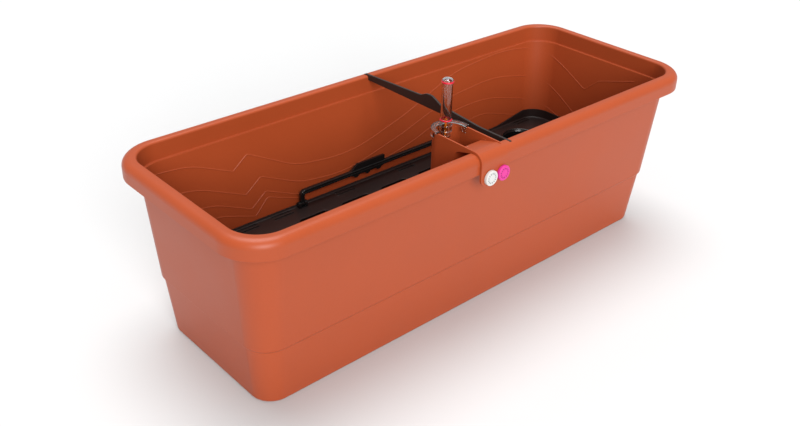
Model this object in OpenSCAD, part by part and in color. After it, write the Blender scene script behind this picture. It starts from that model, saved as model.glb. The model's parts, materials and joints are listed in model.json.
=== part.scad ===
// Self-watering planter trough, 80 cm class: a double-walled box with a water
// reservoir under a lift-out false floor, a filling shaft with a float gauge,
// and a tie strip across the rim. Origin: centre of the base. +X runs along
// the long side, -Y is the side with the filling shaft, +Z is up.

/* [Trough] */
// Overall length over the rim
trough_l = 800; // [700:10:900]
// Overall width over the rim
trough_w = 303; // [290:1:330]
// Overall height to the top of the rim
trough_h = 254.4; // [240:0.2:270]
// Thickness of the moulded walls
wall_t = 3; // [2.6:0.1:3.4]
// Height of the rolled rim's outer skirt
rim_h = 24.5; // [22:0.5:27]
// How far the rim stands out from the wall below it
rim_out = 18; // [17:0.5:20]
// Height of the step between reservoir and planting space
step_z = 83; // [75:1:88]
// Corner radius of the rim, outside
rim_corner_r = 55.5; // [50:0.5:60]

/* [False floor] */
// Top face of the false floor
floor_z = 97; // [92:1:102]
// Thickness of the false floor
floor_t = 3; // [2.5:0.5:3.5]
// Height of the upturned collar round each end
collar_h = 15; // [8:1:18]

/* [Wick cups] */
// Distance of the cups from the middle, along the trough
cup_x = 277; // [240:1:290]
// Distance of the cups from the middle, across the trough
cup_y = 66; // [55:1:70]
// Radius of a cup at its mouth
cup_r = 30; // [24:1:32]

/* [Lift handle] */
// Distance of each handle leg from the middle
handle_x = 136; // [110:1:150]
// Distance of the handle's pivot line from the middle
handle_y = 113; // [105:0.5:114]
// Height of the pivot line above the false floor
pivot_up = 5; // [5:0.1:6]
// Height of the handle bar's centre above its pivot line
handle_rise = 18; // [15:0.5:24]

/* [Filling shaft] */
// Middle of the shaft along the trough
shaft_x = -35; // [-60:1:-30]
// Outer width of the shaft
shaft_w = 46; // [42:1:48]
// Wall thickness of the shaft
shaft_t = 2.2; // [1.8:0.1:2.6]
// Lowest edge of the hanging front flange
flange_z = 212.5; // [208:0.5:215]

/* [Water gauge] */
// Outer radius of the clear gauge tube
gauge_r = 7.2; // [7:0.1:8]
// Top of the gauge dome
gauge_top = 324.5; // [300:0.5:330]
// Upward travel of the float from empty to full
float_travel = 52; // [40:1:54]

/* [Marker buttons] */
// Radius of a marker button
marker_r = 10.2; // [9:0.1:11]
// Height of the button centres
marker_z = 223.5; // [219:0.5:226]

/* [Cross brace] */
// Thickness of the tie strip across the rim
brace_t = 3; // [2:0.5:3]
// Place of the tie strip along the trough
brace_x = 5; // [-5:1:60]

/* [Hidden] */

$fn = 96;
eps = 0.01;

terracotta = "#C0603F";
insert_black = "#241A18";
gloss_black = "#151414";
clear = [0.9, 0.92, 0.95, 0.45];

half_l = trough_l / 2;
half_w = trough_w / 2;

// ---- trough wall, as insets from the outermost face of the rim ----
base_in = rim_out + 21;               // outside face at the base
step_low_in = rim_out + 13;           // outside face just under the step
step_high_in = rim_out + 10.5;        // outside face just over the step
step_top_z = step_z + 3.5;
rim_low_z = trough_h - rim_h;         // lower edge of the skirt
rim_round = 11;                       // radius of the rim's outer top edge
rim_skin = 3;
ledge_z = step_z + 5;                 // inside ledge that carries the false floor
corner_steps = 8;                     // facets in each rounded corner

function wall_in(z) = step_high_in
    - (step_high_in - rim_out) * (z - step_top_z) / (rim_low_z - step_top_z);
function corner_r(inset) = inset <= rim_out
    ? rim_corner_r - 15.5 * inset / rim_out
    : rim_corner_r - 15.5 - 0.52 * (inset - rim_out);

function ring(z, inset) = let (r = corner_r(inset), cx = half_l - inset - r, cy = half_w - inset - r)
    [for (q = [0:3]) for (k = [0:corner_steps]) let (a = 90 * (q + k / corner_steps))
        [(q == 0 || q == 3 ? cx : -cx) + r * cos(a), (q < 2 ? cy : -cy) + r * sin(a), z]];

// one closed skin through rings of [height, inset], from the base round to the inside floor
module ring_skin(rings) {
    n = 4 * (corner_steps + 1);
    last = len(rings) - 1;
    points = [for (s = rings) each ring(s[0], s[1])];
    base = [for (j = [0:n - 1]) j];
    inside = [for (j = [n - 1:-1:0]) last * n + j];
    sides = [for (i = [0:last - 1]) for (j = [0:n - 1])
        [i * n + j, (i + 1) * n + j, (i + 1) * n + (j + 1) % n, i * n + (j + 1) % n]];
    polyhedron(points = points, faces = concat([base, inside], sides), convexity = 8);
}

// quarter round between two directions, as [height, inset] pairs
function arc(z, inset, r, from, to, steps) = [for (k = [0:steps])
    let (a = from + (to - from) * k / steps) [z + r * sin(a), inset + r * cos(a)]];

outside_rings = concat(
    [[0, base_in + 4], [1.2, base_in + 1.2], [4, base_in - 0.4]],
    [[step_z, step_low_in], [step_top_z, step_high_in], [rim_low_z - 3, rim_out + 0.2]],
    [[rim_low_z + 1.5, rim_out - rim_skin], [trough_h - 4.4, rim_out - rim_skin]],
    arc(trough_h - rim_round, rim_round, rim_round - rim_skin, 80, 180, 4));
rim_rings = concat(
    [[rim_low_z, rim_skin], [rim_low_z, 0.2]],
    arc(trough_h - rim_round, rim_round, rim_round, 180, 90, 6),
    arc(trough_h - 3, rim_out - 3, 3, 90, 0, 3));
inside_rings = [[rim_low_z - 0.5, rim_out + 0.3], [rim_low_z - 1, wall_in(rim_low_z) + wall_t],
    [ledge_z, wall_in(ledge_z) + wall_t], [ledge_z, step_low_in + wall_t],
    [wall_t + 4, base_in + wall_t - 0.6], [wall_t + 0.8, base_in + wall_t + 2.4],
    [wall_t, base_in + wall_t + 7]];

// ---- drain in the back wall, low down ----
drain_x = 300;
drain_z = 18;
drain_r = 6;
drain_face_y = half_w - base_in + 4.5;
drain_back_y = half_w - base_in - 7;

// ---- notches that take the cross brace ----
notch_w = brace_t + 0.8;
notch_z = 248;
brace_end_y = half_w - 8;

module along_y(y0, y1, r) {
    translate([0, y0, 0]) rotate([-90, 0, 0]) cylinder(h = y1 - y0, r = r);
}

module trough() {
    color(terracotta) difference() {
        union() {
            ring_skin(concat(outside_rings, rim_rings, inside_rings));
            translate([drain_x, 0, drain_z]) along_y(drain_back_y, drain_face_y, drain_r + 4);
        }
        translate([drain_x, 0, drain_z]) along_y(drain_back_y - 1, drain_face_y + 1, drain_r);
        for (side = [-1, 1])
            translate([brace_x - notch_w / 2, side > 0 ? half_w - 20.5 : -brace_end_y - 0.3, notch_z])
                cube([notch_w, brace_end_y + 0.3 - half_w + 20.5, 20]);
    }
}

// ---- false floor ----
floor_l = 2 * (half_l - wall_in(ledge_z) - wall_t - 0.6);
floor_w = 2 * (half_w - wall_in(ledge_z) - wall_t - 0.6);
floor_r = corner_r(wall_in(ledge_z) + wall_t) - 0.6;
skirt_t = 2.3;
edge_h = 3;                             // upturned edge along the sides
slot_x = [-328, -230, -172, -60, 60, 172, 230, 328];
slot_y = [107, 114];
slot_l = 33;
slot_w = 2.6;
window_x = [-140, -65, 10, 85, 160];
window_y = 78;
window_size = [50, 12];
shaft_gap = 0.8;

module rounded_plan(l, w, r) {
    square([l - 2 * r, w], center = true);
    square([l, w - 2 * r], center = true);
    for (sx = [-1, 1], sy = [-1, 1])
        translate([sx * (l / 2 - r), sy * (w / 2 - r)]) circle(r = r);
}

module slot_plan(l, w) {
    square([l - w, w], center = true);
    for (s = [-1, 1]) translate([s * (l - w) / 2, 0]) circle(r = w / 2, $fn = 24);
}

module floor_edge(z0, z1) {
    translate([0, 0, z0]) linear_extrude(z1 - z0) difference() {
        rounded_plan(floor_l, floor_w, floor_r);
        rounded_plan(floor_l - 2 * skirt_t, floor_w - 2 * skirt_t, floor_r - skirt_t);
    }
}

// ---- lift handle, upright at rest, hinged along X near the back wall ----
pivot_z = floor_z + pivot_up;
pivot_r = 2.5;
leg_w = 6;
ear_w = 4;
ear_r = 4;
ear_gap = 0.3;
ear_span = leg_w + 2 * (ear_w + ear_gap);
pad_t = 1;

// two ears on a small pad that snaps onto the false floor
module handle_bracket(side) {
    color(gloss_black) translate([side * handle_x, handle_y, floor_z]) difference() {
        union() {
            translate([-ear_span / 2, -ear_r, 0]) cube([ear_span, 2 * ear_r, pad_t]);
            for (ear = [-1, 1]) translate([ear * (leg_w + ear_w + 2 * ear_gap) / 2, 0, 0]) {
                translate([0, 0, pivot_up]) rotate([0, 90, 0])
                    cylinder(h = ear_w, r = ear_r, center = true);
                translate([-ear_w / 2, -ear_r, 0]) cube([ear_w, 2 * ear_r, pivot_up]);
            }
        }
        translate([0, 0, pivot_up]) rotate([0, 90, 0])
            cylinder(h = ear_span + 1, r = pivot_r + 0.05, center = true);
    }
}
module handle_bracket_left() { handle_bracket(-1); }
module handle_bracket_right() { handle_bracket(1); }

module false_floor() {
    color(insert_black) difference() {
        union() {
            translate([0, 0, floor_z - floor_t]) linear_extrude(floor_t)
                rounded_plan(floor_l, floor_w, floor_r);
            floor_edge(ledge_z + 0.05, floor_z + edge_h);
        }
        for (sx = [-1, 1], sy = [-1, 1])
            translate([sx * cup_x, sy * cup_y, floor_z - floor_t - 1])
                cylinder(h = floor_t + 2, r = cup_r + 0.2);
        translate([0, 0, floor_z - floor_t - 1]) linear_extrude(floor_t + 2) {
            for (x = slot_x, y = slot_y, sy = [-1, 1]) if (sy > 0 || abs(x - shaft_x) > 40)
                translate([x, sy * y]) slot_plan(slot_l, slot_w);
            for (x = window_x) translate([x, window_y]) slot_plan(window_size[0], window_size[1]);
            shaft_plan(shaft_gap);
        }
    }
}

// a collar that rises from the floor's edge and runs round one end
module end_collar(turn) {
    color(insert_black) rotate([0, 0, turn]) intersection() {
        floor_edge(floor_z + edge_h, floor_z + collar_h);
        rotate([90, 0, 0]) linear_extrude(floor_w + 2, center = true)
            polygon([[floor_l / 2 - 95, floor_z + edge_h], [floor_l / 2 + 1, floor_z + edge_h],
                     [floor_l / 2 + 1, floor_z + collar_h + 1], [floor_l / 2 - 25, floor_z + collar_h + 1]]);
    }
}
module end_collar_left() { end_collar(180); }
module end_collar_right() { end_collar(0); }

// a slotted cup that hangs through the false floor and holds soil down in the water
cup_foot_r = 21;
cup_floor_z = wall_t + 0.4;

module wick_cup(sx, sy) {
    color(gloss_black) translate([sx * cup_x, sy * cup_y, 0]) difference() {
        rotate_extrude() polygon([
            [0, cup_floor_z], [cup_foot_r, cup_floor_z], [cup_r, floor_z - floor_t], [cup_r, floor_z + 0.05],
            [cup_r + 3.5, floor_z + 0.05], [cup_r + 3.5, floor_z + 2], [cup_r + 2, floor_z + 3.2],
            [cup_r - 2, floor_z + 3.2], [cup_r - 2, floor_z - floor_t], [cup_foot_r - 2, cup_floor_z + 2],
            [0, cup_floor_z + 2]]);
        for (k = [0:5]) rotate([0, 0, 60 * k + 30]) translate([cup_foot_r - 6, -2, 14]) cube([20, 4, 56]);
    }
}
module wick_cup_front_left() { wick_cup(-1, -1); }
module wick_cup_front_right() { wick_cup(1, -1); }
module wick_cup_back_left() { wick_cup(-1, 1); }
module wick_cup_back_right() { wick_cup(1, 1); }

bar_h = 7;
bar_d = 6;
grip_x = -15;
grip_half = 33;
grip_t = 3.4;
grip_low = 9;                           // lower edge of the finger plate, above the pivot line
grip_high = 30.5;
lobe_r = 6;

// upright finger plate on the bar, with three lobes along its lower edge
module grip_outline() {
    polygon([[-grip_half, handle_rise - 3], [-grip_half, handle_rise + 3], [-grip_half + 13, grip_high],
             [grip_half, grip_high], [grip_half, grip_low + lobe_r], [-grip_half + 6, grip_low + lobe_r]]);
    for (k = [-1:1]) translate([k * (grip_half - lobe_r) * 0.8, grip_low + lobe_r]) circle(r = lobe_r);
}

module lift_handle() {
    color(gloss_black) translate([0, handle_y, pivot_z]) union() {
        for (side = [-1, 1]) translate([side * handle_x, 0, 0]) {
            rotate([0, 90, 0]) cylinder(h = leg_w + 2 * ear_w + 1, r = pivot_r, center = true);
            rotate([0, 90, 0]) cylinder(h = leg_w, r = 3.6, center = true);
            translate([-leg_w / 2, -bar_d / 2, 0]) cube([leg_w, bar_d, handle_rise]);
        }
        translate([-handle_x - leg_w / 2, -bar_d / 2, handle_rise - bar_h / 2])
            cube([2 * handle_x + leg_w, bar_d, bar_h]);
        translate([grip_x, 0, 0]) rotate([90, 0, 0]) linear_extrude(grip_t, center = true) grip_outline();
    }
}

// ---- cross brace: a thin tie strip on edge, hooked into notches in the rim ----
brace_low = notch_z + 0.05;
hook_y = half_w - (rim_out - rim_skin) + 0.6;
brace_outline = [
    [brace_end_y, brace_low], [brace_end_y, 254.6], [brace_end_y - 3, 256.1],
    [24, 262], [17, 264], [13, 267], [9, 267.8], [1, 267.8], [-4, 266.6], [-10, 262], [-16, 260],
    [-39, 258], [-89, 255], [-brace_end_y, 254.6], [-brace_end_y, brace_low],
    [-hook_y - 2.6, brace_low], [-hook_y - 2.2, 244.4], [-hook_y, 244.4], [-hook_y, brace_low],
    [hook_y, brace_low], [hook_y, 244.4], [hook_y + 2.2, 244.4], [hook_y + 2.6, brace_low]];

module cross_brace() {
    color(insert_black) translate([brace_x - brace_t / 2, 0, 0])
        rotate([90, 0, 90]) linear_extrude(brace_t) polygon(brace_outline);
}

// ---- filling shaft: a D-shaped pipe with a chute that hooks over the front rim ----
shaft_top = trough_h + 3.4;
shaft_foot = wall_t + 3;
shaft_round_y = -75;                    // centre of the rounded inner end
shaft_front_y = -107;                   // flat front face of the pipe
strap_gap = 0.4;                        // between the rim and the strap over it
strap_t = 3;
flange_r = 12;                          // lower corners of the flange
lip_y = -half_w + rim_out + 1.2;        // clear of the rim's inner face
rim_arc_y = -half_w + rim_round;
rim_arc_z = trough_h - rim_round;
flange_face_y = -half_w - strap_gap - strap_t;

module shaft_plan(grow) {
    translate([shaft_x, shaft_round_y]) circle(r = shaft_w / 2 + grow);
    translate([shaft_x - shaft_w / 2 - grow, shaft_front_y - grow])
        square([shaft_w + 2 * grow, shaft_round_y - shaft_front_y + grow]);
}

module along_x(width) {
    translate([shaft_x - width / 2, 0, 0]) rotate([90, 0, 90]) linear_extrude(width) children();
}

function rim_arc(r, from, to) = [for (k = [0:6]) let (a = from + (to - from) * k / 6)
    [rim_arc_y - r * cos(a), rim_arc_z + r * sin(a)]];

chute_outer = concat(
    [[shaft_round_y, shaft_top], [shaft_round_y, 200], [shaft_front_y, 200], [shaft_front_y, 240],
     [-108.3, 244.4], [-111, 246.8], [-115.5, 248.7], [-122, 250.4], [-128, 251.7], [lip_y, 252.6],
     [lip_y - 1.3, 254], [lip_y - 4.2, 255]],
    rim_arc(rim_round + strap_gap, 90, 0),
    [[-half_w - strap_gap, flange_z], [flange_face_y, flange_z]],
    rim_arc(rim_round + strap_gap + strap_t, 0, 90));
// a shallow channel that slopes in from the strap and drops over a rounded edge into the pipe
chute_inner = [[shaft_round_y, shaft_top + 9], [shaft_round_y, 190], [shaft_front_y + shaft_t, 190],
    [shaft_front_y + shaft_t, 240], [-106, 244], [-109, 248], [-114, 250.8], [-121, 252.8],
    [-128, 254.4], [-133.9, 255.8], [-137, 256.6], [-141, 256.9], [-146, 256.9],
    [-146, shaft_top + 9]];

// what is cut away to round one lower corner of the flange
module flange_corner(side) {
    translate([shaft_x + side * (shaft_w / 2 - flange_r), 0, flange_z + flange_r]) difference() {
        translate([side > 0 ? 0 : -flange_r - 1, flange_face_y - 1, -flange_r - 1])
            cube([flange_r + 1, strap_t + 2, flange_r + 1]);
        along_y(flange_face_y - 2, -half_w + 2, flange_r);
    }
}

module filling_shaft() {
    color(terracotta) difference() {
        union() {
            translate([0, 0, shaft_foot]) linear_extrude(shaft_top - shaft_foot) shaft_plan(0);
            along_x(shaft_w) polygon(chute_outer);
        }
        translate([0, 0, shaft_foot - 1]) linear_extrude(shaft_top - shaft_foot + 10) shaft_plan(-shaft_t);
        along_x(shaft_w - 2 * shaft_t) polygon(chute_inner);
        for (side = [-1, 1]) flange_corner(side);
        // outlets at the foot, so water runs out into the reservoir
        translate([shaft_x - shaft_w, -100, shaft_foot - 1]) cube([2 * shaft_w, 18, 20]);
        for (x = [marker_white_x, marker_pink_x])
            translate([x, 0, marker_z]) along_y(flange_face_y - 1, -half_w + 1, stem_r + 0.05);
    }
}

// ---- water gauge ----
gauge_x = -33.6;
gauge_y = -64.5;
gauge_foot = 246;
gauge_wall = 1.5;
dome_h = 3;
rod_r = 1.5;
rod_top = 268.5;
float_r = 6.5;

module at_gauge() { translate([gauge_x, gauge_y, 0]) children(); }

function dome(r, z, h) = [for (k = [0:8]) [r * cos(90 * k / 8), z + h * sin(90 * k / 8)]];

module gauge_tube() {
    color(clear) at_gauge() rotate_extrude() polygon(concat(
        [[gauge_r, gauge_foot]], dome(gauge_r, gauge_top - dome_h, dome_h),
        [for (k = [8:-1:0]) dome(gauge_r - gauge_wall, gauge_top - dome_h - 0.5, dome_h - 1)[k]],
        [[gauge_r - gauge_wall, gauge_foot]]));
}

module gauge_guide() {
    color(clear) at_gauge() rotate_extrude() polygon([[rod_r + 0.06, gauge_foot], [gauge_r, gauge_foot - eps],
        [gauge_r, gauge_foot - 2], [rod_r + 0.06, gauge_foot - 2]]);
}

clip_z = shaft_top + 0.1;
clip_top = clip_z + 2;
clip_r = shaft_w / 2 + 2.2;

module clip_band(r0, r1, z0, z1, back_y) {
    translate([shaft_x, shaft_round_y, 0]) intersection() {
        difference() {
            translate([0, 0, z0]) cylinder(h = z1 - z0, r = r1);
            translate([0, 0, z0 - 1]) cylinder(h = z1 - z0 + 2, r = r0);
        }
        translate([-50, back_y, z0 - 1]) cube([100, 60, z1 - z0 + 2]);
    }
}

module gauge_clip() {
    color(clear) difference() {
        union() {
            clip_band(shaft_w / 2 - 4, clip_r, clip_z, clip_top, 0);
            clip_band(shaft_w / 2 + 0.2, clip_r, clip_z - 7, clip_top, 6);
            at_gauge() translate([0, 0, clip_z - 5]) cylinder(h = 7, r = gauge_r + 1.8);
            // an arm along the right-hand wall, with two tabs that hang inside the pipe
            for (y = [-78.2, -84])
                translate([shaft_x + shaft_w / 2 - 4.4, y, clip_z - 8]) cube([1.8, 2.6, 10]);
            translate([shaft_x + shaft_w / 2 - 4.4, -84, clip_z]) cube([6.6, 12, 2]);
        }
        at_gauge() translate([0, 0, clip_z - 9]) cylinder(h = 20, r = gauge_r);
    }
}

module gauge_ring(z) {
    color("#D92B45") at_gauge() translate([0, 0, z]) difference() {
        cylinder(h = 2.4, r = gauge_r + 0.9);
        translate([0, 0, -1]) cylinder(h = 5, r = gauge_r);
    }
}
module gauge_ring_low() { gauge_ring(clip_top + 6.4); }
module gauge_ring_high() { gauge_ring(gauge_top - dome_h - 3.2); }

float_z = wall_t + 4;
float_h = 26;

module float_rod() {
    color("#FF8A1E") at_gauge() translate([0, 0, float_z + 2]) cylinder(h = rod_top - float_z - 2, r = rod_r);
}

module float() {
    color("#F2F0E8") at_gauge() difference() {
        translate([0, 0, float_z]) cylinder(h = float_h, r = float_r);
        translate([0, 0, float_z + 2]) cylinder(h = float_h, r = rod_r);
    }
}

// ---- marker buttons on the flange ----
marker_white_x = -42.4;
marker_pink_x = -20;
marker_t = 4.4;
stem_r = 2.2;

module marker(x, tint) {
    color(tint) translate([x, flange_face_y - 0.1, marker_z]) rotate([90, 0, 0]) rotate_extrude()
        polygon([[0, -strap_t], [stem_r, -strap_t], [stem_r, 0], [marker_r, 0], [marker_r, marker_t - 1],
            [marker_r - 1, marker_t], [marker_r - 1.8, marker_t], [marker_r - 2.2, marker_t - 0.7],
            [5.6, marker_t - 0.7], [5.2, marker_t], [0, marker_t]]);
}
module marker_white() { marker(marker_white_x, "#F5F5F2"); }
module marker_pink() { marker(marker_pink_x, "#F83CBE"); }

// ---- drain plug and its seal ----
seal_t = 1.5;

module drain_plug() {
    color(gloss_black) translate([drain_x, 0, drain_z]) union() {
        along_y(drain_back_y - 2, drain_face_y + seal_t, drain_r - 0.06);
        difference() {
            along_y(drain_face_y + seal_t, drain_face_y + seal_t + 4, drain_r + 4);
            translate([-1, drain_face_y + seal_t + 2, -7]) cube([2, 4, 14]);
        }
    }
}

module plug_seal() {
    color("#2A2A2A") translate([drain_x, 0, drain_z]) difference() {
        along_y(drain_face_y + 0.05, drain_face_y + seal_t, drain_r + 3);
        along_y(drain_face_y - 1, drain_face_y + seal_t + 1, drain_r - 0.06);
    }
}

trough();
false_floor();
end_collar_left();
end_collar_right();
wick_cup_front_left();
wick_cup_front_right();
wick_cup_back_left();
wick_cup_back_right();
handle_bracket_left();
handle_bracket_right();
lift_handle();
cross_brace();
filling_shaft();
gauge_tube();
gauge_clip();
gauge_guide();
gauge_ring_low();
gauge_ring_high();
float_rod();
float();
marker_white();
marker_pink();
drain_plug();
plug_seal();
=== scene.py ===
"""Looks of a self-watering planter trough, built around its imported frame.

Lengths are in metres, in the frame's own axes: X along the trough, -Y towards the side with the
filling shaft, +Z up, and the origin at the centre of the base.
"""

import json
import logging
import math
from dataclasses import dataclass
from enum import Enum
from typing import Any, Callable, Sequence

import bmesh
import bpy
from mathutils import Matrix, Vector


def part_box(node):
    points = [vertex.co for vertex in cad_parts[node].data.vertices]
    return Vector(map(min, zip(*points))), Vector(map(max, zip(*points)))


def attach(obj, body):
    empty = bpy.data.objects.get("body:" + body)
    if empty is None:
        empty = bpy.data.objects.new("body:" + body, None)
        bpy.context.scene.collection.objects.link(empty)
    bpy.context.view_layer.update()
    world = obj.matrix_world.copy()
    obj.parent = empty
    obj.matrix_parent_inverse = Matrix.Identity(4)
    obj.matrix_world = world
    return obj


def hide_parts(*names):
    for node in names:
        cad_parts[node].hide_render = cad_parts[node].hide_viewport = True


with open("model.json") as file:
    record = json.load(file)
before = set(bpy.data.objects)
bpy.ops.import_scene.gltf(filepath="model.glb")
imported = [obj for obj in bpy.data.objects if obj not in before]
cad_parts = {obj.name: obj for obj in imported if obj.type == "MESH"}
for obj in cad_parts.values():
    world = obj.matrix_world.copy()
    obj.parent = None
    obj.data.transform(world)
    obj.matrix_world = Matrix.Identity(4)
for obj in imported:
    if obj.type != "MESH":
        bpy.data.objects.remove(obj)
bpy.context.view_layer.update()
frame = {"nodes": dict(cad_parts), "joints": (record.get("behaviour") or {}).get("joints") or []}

log = logging.getLogger("planter")

Point2 = tuple[float, float]
Point3 = tuple[float, float, float]
MM = 0.001
OVERSHOOT = 0.01  # how far a cutter reaches past what it cuts


# ---------------------------------------------------------------- node trees and finishes

def linear(hex_colour: str) -> tuple[float, float, float, float]:
    """Turn an sRGB hex colour into linear light.

    Args:
        hex_colour: six hex digits after a hash sign.

    Returns:
        Red, green, blue and an alpha of one.
    """
    parts = [int(hex_colour[i:i + 2], 16) / 255 for i in (1, 3, 5)]
    light = [c / 12.92 if c <= 0.04045 else ((c + 0.055) / 1.055) ** 2.4 for c in parts]
    return light[0], light[1], light[2], 1.0


def add_node(tree: bpy.types.NodeTree, kind: str, inputs: dict[Any, Any] | None = None,
             **settings: Any) -> bpy.types.Node:
    """Add a node, set its properties, and fill or link its inputs.

    Args:
        tree: the shader or geometry tree.
        kind: the node's type name.
        inputs: a value or an output socket for each input's name or number.
        settings: the node's own properties.

    Returns:
        The new node.
    """
    node = tree.nodes.new(kind)
    for name, value in settings.items():
        setattr(node, name, value)
    for key, value in (inputs or {}).items():
        if isinstance(value, bpy.types.NodeSocket):
            tree.links.new(value, node.inputs[key])
        else:
            node.inputs[key].default_value = value
    return node


class Surface(Enum):
    """How a moulded surface was finished in the tool: its grain in metres and its relief."""
    POLISHED = (4.0 * MM, 0.00)
    SATIN = (1.6 * MM, 0.05)
    SPARK_ERODED = (1.3 * MM, 0.11)


@dataclass(frozen=True)
class MouldedPlastic:
    """An injection-moulded thermoplastic: flow mottle, uneven gloss and the tool's fine grain."""
    name: str
    colour: str
    roughness: float
    surface: Surface = Surface.SATIN
    mottle: float = 0.05
    ior: float = 1.49
    sheen_patch: float = 0.06
    reflectance: float = 0.38

    def material(self) -> bpy.types.Material:
        """Build the material from noise on Object coordinates."""
        made = bpy.data.materials.new(self.name)
        made.use_nodes = True
        tree = made.node_tree
        tree.nodes.clear()
        grain, relief = self.surface.value
        place = add_node(tree, "ShaderNodeTexCoord").outputs["Object"]
        flow = add_node(tree, "ShaderNodeTexNoise",
                        {"Vector": place, "Scale": 9.0, "Detail": 3.0, "Roughness": 0.55})
        speck = add_node(tree, "ShaderNodeTexNoise",
                         {"Vector": place, "Scale": 1 / (2.2 * grain), "Detail": 2.0})
        blend = add_node(tree, "ShaderNodeMix", {0: 0.3, 2: flow.outputs["Fac"],
                                                 3: speck.outputs["Fac"]}, data_type="FLOAT")
        spread = add_node(tree, "ShaderNodeMapRange",
                          {"Value": blend.outputs[0], "From Min": 0.3, "From Max": 0.7})
        base = linear(self.colour)
        dark = [c * (1 - self.mottle) for c in base[:3]] + [1.0]
        light = [min(1.0, c * (1 + self.mottle)) for c in base[:3]] + [1.0]
        tint = add_node(tree, "ShaderNodeMix", {0: spread.outputs["Result"], 6: dark, 7: light},
                        data_type="RGBA")
        gloss = add_node(tree, "ShaderNodeMapRange",
                         {"Value": flow.outputs["Fac"], "From Min": 0.3, "From Max": 0.7,
                          "To Min": self.roughness - self.sheen_patch / 2,
                          "To Max": self.roughness + self.sheen_patch / 2})
        shader = add_node(tree, "ShaderNodeBsdfPrincipled",
                          {"Base Color": tint.outputs[2], "Roughness": gloss.outputs["Result"],
                           "IOR": self.ior, "Specular IOR Level": self.reflectance})
        if relief:
            fine = add_node(tree, "ShaderNodeTexNoise",
                            {"Vector": place, "Scale": 1 / grain, "Detail": 2.0})
            bump = add_node(tree, "ShaderNodeBump", {"Height": fine.outputs["Fac"],
                                                     "Strength": relief, "Distance": 0.4 * MM})
            tree.links.new(bump.outputs["Normal"], shader.inputs["Normal"])
        add_node(tree, "ShaderNodeOutputMaterial", {"Surface": shader.outputs[0]})
        return made


@dataclass(frozen=True)
class ClearPlastic:
    """Water-clear moulded acrylic, glossy, with faint flow waves in its surface."""
    name: str
    roughness: float = 0.02
    ior: float = 1.49

    def material(self) -> bpy.types.Material:
        """Build the clear material."""
        made = bpy.data.materials.new(self.name)
        made.use_nodes = True
        tree = made.node_tree
        tree.nodes.clear()
        place = add_node(tree, "ShaderNodeTexCoord").outputs["Object"]
        waves = add_node(tree, "ShaderNodeTexNoise",
                         {"Vector": place, "Scale": 110.0, "Detail": 1.0})
        bump = add_node(tree, "ShaderNodeBump", {"Height": waves.outputs["Fac"], "Strength": 0.03,
                                                 "Distance": 0.5 * MM})
        shader = add_node(tree, "ShaderNodeBsdfPrincipled",
                          {"Base Color": linear("#F4F7F8"), "Roughness": self.roughness,
                           "IOR": self.ior, "Transmission Weight": 1.0,
                           "Normal": bump.outputs["Normal"]})
        add_node(tree, "ShaderNodeOutputMaterial", {"Surface": shader.outputs[0]})
        return made


# Polypropylene coloured like fired clay: satin, a little uneven, so lit faces stay soft.
TERRACOTTA = MouldedPlastic("terracotta_polypropylene", "#A74823", 0.40, Surface.SATIN, 0.035)
# The relief lines are polished in the tool, with no grain bump, and their colour is a touch lighter
# than the wall's as a painted highlight, so they read as thin bright threads.
RELIEF_PAINTED_HIGHLIGHT = MouldedPlastic("terracotta_relief_line", "#AA4B27", 0.40, Surface.POLISHED, 0.02)
# Recycled brown-black polypropylene with a spark-eroded tool finish: dull, with a broad sheen.
INSERT = MouldedPlastic("brown_black_polypropylene", "#241917", 0.40, Surface.SPARK_ERODED, 0.12)
# Black ABS from a polished tool: sharp, narrow highlights.
GLOSS_BLACK = MouldedPlastic("gloss_black_abs", "#161515", 0.22, Surface.POLISHED, 0.05, 1.54)
# The tie strip is glass-filled nylon: dark, with a greyer sheen on its edges.
NYLON = MouldedPlastic("dark_glass_filled_nylon", "#2C2320", 0.42, Surface.SATIN, 0.1, 1.53)
CLEAR = ClearPlastic("clear_acrylic")
RED = MouldedPlastic("red_abs", "#D81F38", 0.25, Surface.POLISHED, 0.03, 1.54)
ORANGE = MouldedPlastic("orange_abs", "#FF7A12", 0.3, Surface.POLISHED, 0.03, 1.54)
FOAM = MouldedPlastic("closed_cell_float_foam", "#ECE9DF", 0.85, Surface.SPARK_ERODED, 0.04, 1.4)
WHITE = MouldedPlastic("white_abs", "#CFCECB", 0.42, Surface.SATIN, 0.01, 1.54)
PINK = MouldedPlastic("magenta_abs", "#D4308E", 0.36, Surface.SATIN, 0.02, 1.54)
# The strokes on the buttons are raised. These darker colours on them are painted shade, standing in
# for the shade in the embossed marks.
GREY_STROKE_SHADE = MouldedPlastic("grey_pad_print", "#6E7174", 0.5, Surface.POLISHED, 0.02)
DEEP_PINK_STROKE_SHADE = MouldedPlastic("deep_pink_pad_print", "#7E1256", 0.5, Surface.POLISHED, 0.02)
SEAL = MouldedPlastic("black_seal_rubber", "#1B1B1B", 0.7, Surface.SPARK_ERODED, 0.08, 1.52)

_materials: dict[str, bpy.types.Material] = {}


def dressed(finish: MouldedPlastic | ClearPlastic) -> bpy.types.Material:
    """Give the finish's material, made once."""
    if finish.name not in _materials:
        _materials[finish.name] = finish.material()
    return _materials[finish.name]


# ---------------------------------------------------------------- mesh building

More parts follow.
